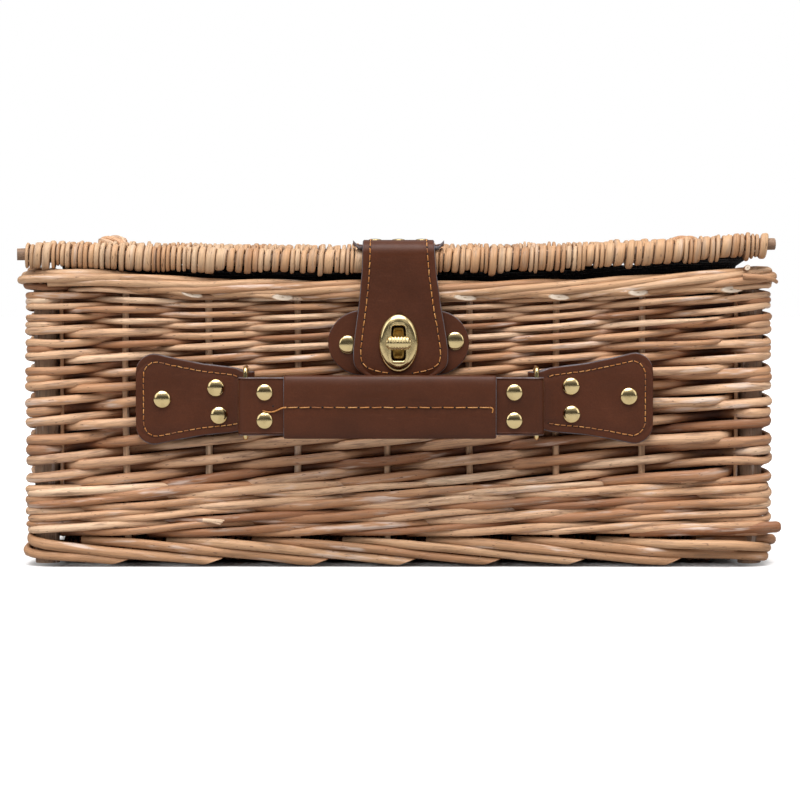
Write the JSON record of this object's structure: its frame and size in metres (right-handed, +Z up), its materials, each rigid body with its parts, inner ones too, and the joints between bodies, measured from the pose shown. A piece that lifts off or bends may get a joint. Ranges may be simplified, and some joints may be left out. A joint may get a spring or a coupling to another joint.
{
  "type": "wicker picnic basket",
  "caption": "Rectangular woven willow picnic basket with a hinged lid, cloth lining, leather strap with a brass turn lock, and a stitched leather handle on brass rings.",
  "frame": {"origin": "middle of the footprint's box, on the ground", "axes": "+X to the right as seen from the front, +Y to the back (the hinge side), +Z up; the handle and strap face -Y"},
  "size_m": [0.467, 0.336, 0.2055],
  "materials": {
    "willow": "peeled and steamed willow rods, satin",
    "stout_willow": "stout willow sticks with weathered bark",
    "border_willow": "yellow-tan willow rods, satin",
    "leather": "smooth chestnut brown leather, satin, grey cut edges",
    "brass": "polished pale brass",
    "lining_cloth": "dark plain-woven cloth",
    "thread": "waxed orange-tan sewing thread"
  },
  "bodies": {
    "basket": {"base_panel": "willow", "base_stick_2": "stout_willow", "base_stick_3": "stout_willow", "base_stick_back": "stout_willow", "base_stick_front": "stout_willow", "corner_post_back_left": "stout_willow", "corner_post_back_right": "stout_willow", "corner_post_front_left": "stout_willow", "corner_post_front_right": "stout_willow", "foot_border": "border_willow", "hinge_loop_left": "border_willow", "hinge_loop_right": "border_willow", "lining": "lining_cloth", "lock_base": "brass", "lower_wale": "willow", "patch_rivet_left": "brass", "patch_rivet_right": "brass", "tab_left": "leather", "tab_right": "leather", "tab_rivet_left_lower": "brass", "tab_rivet_left_outer": "brass", "tab_rivet_left_upper": "brass", "tab_rivet_right_lower": "brass", "tab_rivet_right_outer": "brass", "tab_rivet_right_upper": "brass", "top_border": "border_willow", "wall_back": "willow", "wall_front": "willow", "wall_left": "willow", "wall_patch": "leather", "wall_right": "willow"},
    "lid": {"lid_panel": "willow", "lid_patch": "leather", "lid_rivet_left": "brass", "lid_rivet_middle": "brass", "lid_rivet_right": "brass", "lid_stick_2": "stout_willow", "lid_stick_3": "stout_willow", "lid_stick_back": "stout_willow", "lid_stick_front": "stout_willow", "strap_top": "leather"},
    "strap": {"closure_strap": "leather", "strap_plate": "brass"},
    "turn_piece": {"turn_piece": "brass"},
    "left_ring": {"ring_left": "brass"},
    "handle": {"grip_sleeve": "leather", "handle_rivet_left_lower": "brass", "handle_rivet_left_upper": "brass", "handle_rivet_right_lower": "brass", "handle_rivet_right_upper": "brass", "handle_strap": "leather"},
    "right_ring": {"ring_right": "brass"}
  },
  "joints": [
    {"name": "lid_hinge", "type": "hinge", "parent": "basket", "child": "lid", "pos_m": [0, 0.157, 0.19025], "axis": [-1, 0, 0], "range_deg": [0, 110]},
    {"name": "strap_fold", "type": "hinge", "parent": "lid", "child": "strap", "pos_m": [0, -0.1425, 0.1985], "axis": [-1, 0, 0], "range_deg": [0, 150], "deforming": ["closure_strap", "strap_plate"]},
    {"name": "lock_turn", "type": "hinge", "parent": "basket", "child": "turn_piece", "pos_m": [0, -0.1495, 0.138], "axis": [0, -1, 0], "range_deg": [0, 90]},
    {"name": "left_ring_swing", "type": "hinge", "parent": "basket", "child": "left_ring", "pos_m": [-0.0925, -0.1445, 0.102], "axis": [0, 0, 1], "range_deg": [-55, 55]},
    {"name": "handle_swing", "type": "hinge", "parent": "left_ring", "child": "handle", "pos_m": [-0.0925, -0.1625, 0.102], "axis": [0, 0, 1], "range_deg": [-55, 55]},
    {"name": "right_ring_swing", "type": "hinge", "parent": "basket", "child": "right_ring", "pos_m": [0.0835, -0.1445, 0.102], "axis": [0, 0, 1], "range_deg": [-55, 55]}
  ],
  "couplings": [
    {"joint": "handle_swing", "follows": "left_ring_swing", "ratio": -1},
    {"joint": "right_ring_swing", "follows": "left_ring_swing", "ratio": 1}
  ]
}
